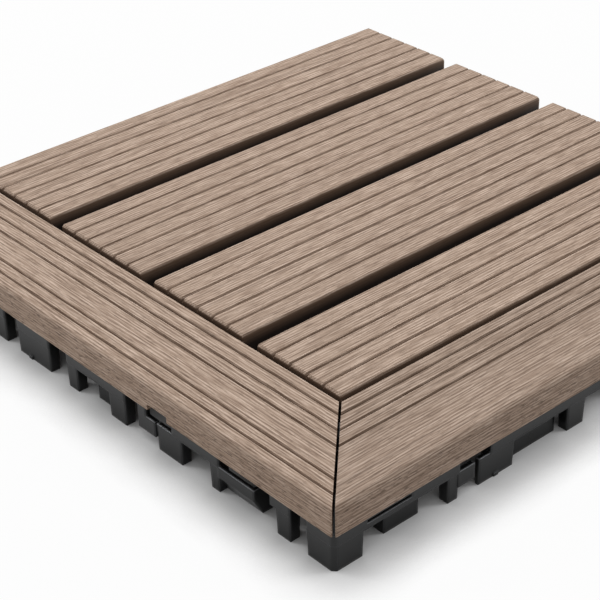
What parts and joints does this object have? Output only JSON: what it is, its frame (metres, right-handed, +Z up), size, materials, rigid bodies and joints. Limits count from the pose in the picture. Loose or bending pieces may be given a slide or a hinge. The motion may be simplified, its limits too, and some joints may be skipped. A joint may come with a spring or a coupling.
{
  "type": "interlocking deck tile",
  "caption": "Square floor tile with grooved wood-plastic slats and a mitred border on a moulded lattice base with hooked tabs and sockets.",
  "frame": {"origin": "centre of the tile's square footprint on the ground, under the closed floor of the middle inner foot", "axes": "+Z up, square to the walking surface; +X along the front border board, away from the mitred corner; +Y along the left border board"},
  "size_m": [0.3059, 0.3059, 0.0295],
  "materials": {
    "base_plastic": "moulded polypropylene, black, satin",
    "composite_board": "wood-plastic composite, taupe brown, brushed along its length",
    "composite_slat": "wood-plastic composite, taupe brown, brushed along its length",
    "screw_steel": "stainless steel, plain"
  },
  "bodies": {
    "root": {"base": "base_plastic", "border_board_left": "composite_board", "border_board_front": "composite_board", "slat_1": "composite_slat", "slat_2": "composite_slat", "slat_3": "composite_slat", "slat_4": "composite_slat", "fixing_screws": "screw_steel"}
  },
  "joints": []
}
